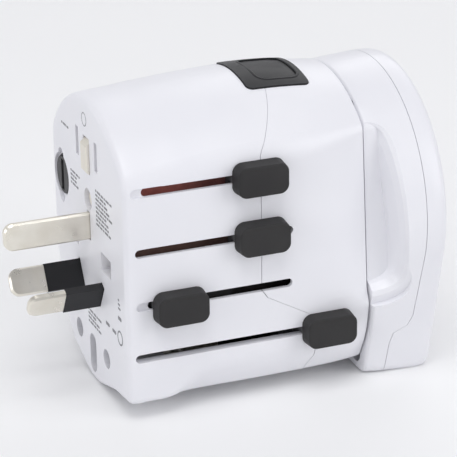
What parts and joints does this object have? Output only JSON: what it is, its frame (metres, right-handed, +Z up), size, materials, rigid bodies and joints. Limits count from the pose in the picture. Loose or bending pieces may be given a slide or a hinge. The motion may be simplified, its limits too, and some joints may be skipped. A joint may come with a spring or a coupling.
{
  "type": "universal travel adapter",
  "caption": "Compact travel adapter with side sliders that push out plug pin sets, a top release button, a fuse drawer and a pull-off earthed socket ring.",
  "frame": {"origin": "under the middle of the whole bounding box, on the plane the adapter stands on", "axes": "+X from the pin face towards the rear socket, +Z up, the sliders face -Y"},
  "size_m": [0.094, 0.0626, 0.0701],
  "materials": {
    "shell_white": "satin fine-grained moulded plastic",
    "ring_white": "satin moulded plastic",
    "well_white": "smooth moulded plastic",
    "slider_black": "matte spark-textured plastic",
    "release_grey": "satin plastic",
    "sleeve_black": "satin insulating sleeve",
    "nickel_plated": "nickel-plated brass, light wear",
    "liner_brown": "red-brown moulded plastic",
    "carrier_grey": "glass-filled plastic",
    "contact_brass": "bare spring brass",
    "spring_steel": "spring steel",
    "screw_steel": "zinc-plated steel",
    "fuse_ceramic": "ceramic tube",
    "fuse_cap_grey": "dark grey plastic"
  },
  "bodies": {
    "housing": {"front_shell": "shell_white", "rear_shell": "shell_white", "slot_liner": "liner_brown", "inner_frame": "carrier_grey", "socket_plate": "shell_white", "housing_screws": "screw_steel", "live_contact": "contact_brass", "neutral_contact": "contact_brass", "earth_contact": "contact_brass", "live_bus": "contact_brass", "neutral_bus": "contact_brass", "fuse_cradle": "carrier_grey", "fuse_contact": "contact_brass", "release_springs": "spring_steel"},
    "us_set": {"us_slider_button": "slider_black", "us_carrier": "carrier_grey", "us_live_blade": "nickel_plated", "us_neutral_blade": "nickel_plated", "us_ground_pin": "nickel_plated"},
    "uk_set": {"uk_slider_button": "slider_black", "uk_carrier": "carrier_grey", "uk_live_pin": "nickel_plated", "uk_neutral_pin": "nickel_plated", "uk_earth_pin": "nickel_plated", "uk_live_sleeve": "sleeve_black", "uk_neutral_sleeve": "sleeve_black"},
    "aus_set": {"aus_slider_button": "slider_black", "aus_carrier": "carrier_grey", "aus_slot_cover": "slider_black", "aus_live_blade": "nickel_plated", "aus_neutral_blade": "nickel_plated", "aus_earth_blade": "nickel_plated", "aus_live_sleeve": "sleeve_black", "aus_neutral_sleeve": "sleeve_black"},
    "round_set": {"round_slider_button": "slider_black", "round_carrier": "carrier_grey", "round_live_pin": "nickel_plated", "round_neutral_pin": "nickel_plated", "italian_earth_pin": "nickel_plated", "swiss_earth_pin": "nickel_plated", "round_live_sleeve": "sleeve_black", "round_neutral_sleeve": "sleeve_black"},
    "release": {"release_button": "release_grey", "lock_plate": "spring_steel"},
    "fuse_drawer_body": {"fuse_drawer": "carrier_grey", "fuse_tube": "fuse_ceramic", "fuse_end_caps": "nickel_plated"},
    "fuse_cap_body": {"fuse_cap": "fuse_cap_grey"},
    "socket_ring": {"ring_front_shell": "ring_white", "ring_rear_shell": "ring_white", "ring_screws": "screw_steel", "well_liner": "well_white", "earth_clips": "nickel_plated"}
  },
  "joints": [
    {"name": "us_slide", "type": "slide", "parent": "housing", "child": "us_set", "axis": [-1, 0, 0], "range_m": [0, 0.02]},
    {"name": "uk_slide", "type": "slide", "parent": "housing", "child": "uk_set", "axis": [-1, 0, 0], "range_m": [0, 0.02]},
    {"name": "aus_slide", "type": "slide", "parent": "housing", "child": "aus_set", "axis": [1, 0, 0], "range_m": [0, 0.02]},
    {"name": "round_slide", "type": "slide", "parent": "housing", "child": "round_set", "axis": [-1, 0, 0], "range_m": [0, 0.036]},
    {"name": "release_press", "type": "slide", "parent": "housing", "child": "release", "axis": [0, 0, -1], "range_m": [0, 0.0012], "stiffness_N_per_m": 400, "springref_m": -0.0005, "deforming": ["release_springs"]},
    {"name": "fuse_pull", "type": "slide", "parent": "housing", "child": "fuse_drawer_body", "axis": [-1, 0, 0], "range_m": [0, 0.03]},
    {"name": "fuse_turn", "type": "hinge", "parent": "fuse_drawer_body", "child": "fuse_cap_body", "pos_m": [-0.02505, 0.0189, 0.0436], "axis": [-1, 0, 0], "range_deg": [-90, 0]},
    {"name": "ring_pull", "type": "slide", "parent": "housing", "child": "socket_ring", "axis": [1, 0, 0], "range_m": [0, 0.02]}
  ]
}
